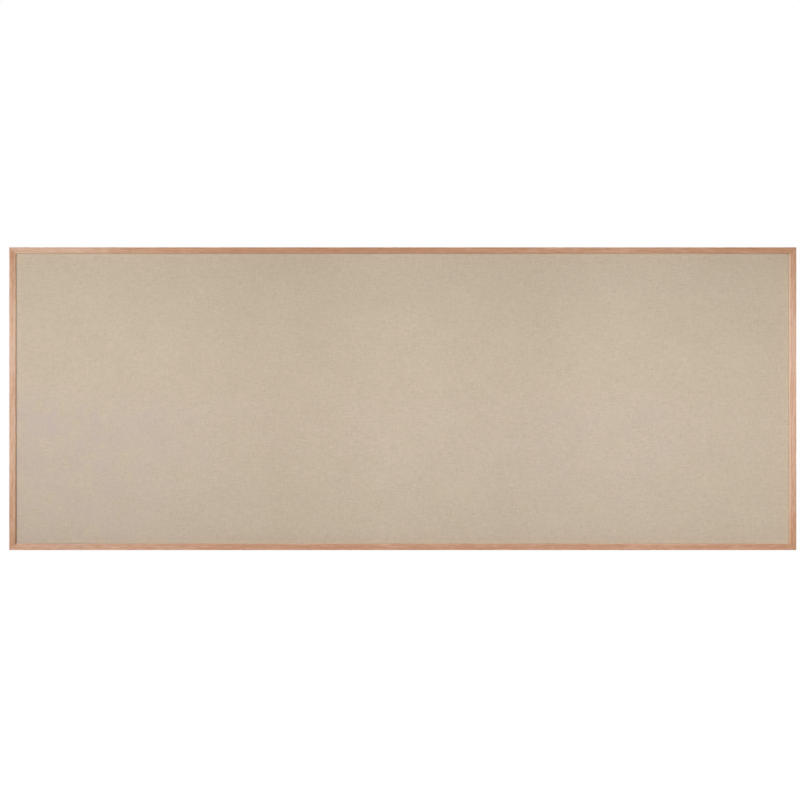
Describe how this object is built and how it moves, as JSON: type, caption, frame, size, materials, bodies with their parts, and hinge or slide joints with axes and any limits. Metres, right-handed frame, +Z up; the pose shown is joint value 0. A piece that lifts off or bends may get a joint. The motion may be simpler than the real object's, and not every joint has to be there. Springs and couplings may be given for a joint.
{
  "type": "bulletin board",
  "caption": "Wide wall-hung bulletin board: a mitred oak frame holds a fabric-wrapped tack panel; keyhole plates on the back hang it on screws.",
  "frame": {"origin": "middle of the board in the plane of the wall, where the ends of the rear bumpers touch it", "axes": "+X to the viewer's right along the board's length, +Y from the front into the wall, +Z up"},
  "size_m": [2.4766, 0.0353, 0.9524],
  "materials": {
    "oak": "clear satin lacquer",
    "fabric": "plain weave, heathered",
    "fibreboard": "raw pressed fibre",
    "hardboard": "screen-textured back",
    "zinc_steel": "bright zinc",
    "bumper_rubber": "matt, moulded"
  },
  "bodies": {
    "root": {"top_rail": "oak", "right_stile": "oak", "bottom_rail": "oak", "left_stile": "oak", "fabric_facing": "fabric", "tack_board": "fibreboard", "backing_board": "hardboard", "panel_point_top_1": "zinc_steel", "panel_point_top_2": "zinc_steel", "panel_point_top_3": "zinc_steel", "panel_point_top_4": "zinc_steel", "panel_point_top_5": "zinc_steel", "panel_point_top_6": "zinc_steel", "panel_point_right_1": "zinc_steel", "panel_point_right_2": "zinc_steel", "panel_point_bottom_1": "zinc_steel", "panel_point_bottom_2": "zinc_steel", "panel_point_bottom_3": "zinc_steel", "panel_point_bottom_4": "zinc_steel", "panel_point_bottom_5": "zinc_steel", "panel_point_bottom_6": "zinc_steel", "panel_point_left_1": "zinc_steel", "panel_point_left_2": "zinc_steel", "corner_plate_top_right": "zinc_steel", "corner_plate_bottom_right": "zinc_steel", "corner_plate_bottom_left": "zinc_steel", "corner_plate_top_left": "zinc_steel", "corner_screw_top_right_1": "zinc_steel", "corner_screw_top_right_2": "zinc_steel", "corner_screw_top_right_3": "zinc_steel", "corner_screw_top_right_4": "zinc_steel", "corner_screw_bottom_right_1": "zinc_steel", "corner_screw_bottom_right_2": "zinc_steel", "corner_screw_bottom_right_3": "zinc_steel", "corner_screw_bottom_right_4": "zinc_steel", "corner_screw_bottom_left_1": "zinc_steel", "corner_screw_bottom_left_2": "zinc_steel", "corner_screw_bottom_left_3": "zinc_steel", "corner_screw_bottom_left_4": "zinc_steel", "corner_screw_top_left_1": "zinc_steel", "corner_screw_top_left_2": "zinc_steel", "corner_screw_top_left_3": "zinc_steel", "corner_screw_top_left_4": "zinc_steel", "hanger_plate_left": "zinc_steel", "hanger_plate_middle": "zinc_steel", "hanger_plate_right": "zinc_steel", "hanger_screw_left_1": "zinc_steel", "hanger_screw_left_2": "zinc_steel", "hanger_screw_middle_1": "zinc_steel", "hanger_screw_middle_2": "zinc_steel", "hanger_screw_right_1": "zinc_steel", "hanger_screw_right_2": "zinc_steel", "wall_bumper_top_left": "bumper_rubber", "wall_bumper_top_right": "bumper_rubber", "wall_bumper_bottom_left": "bumper_rubber", "wall_bumper_bottom_right": "bumper_rubber"}
  },
  "joints": []
}
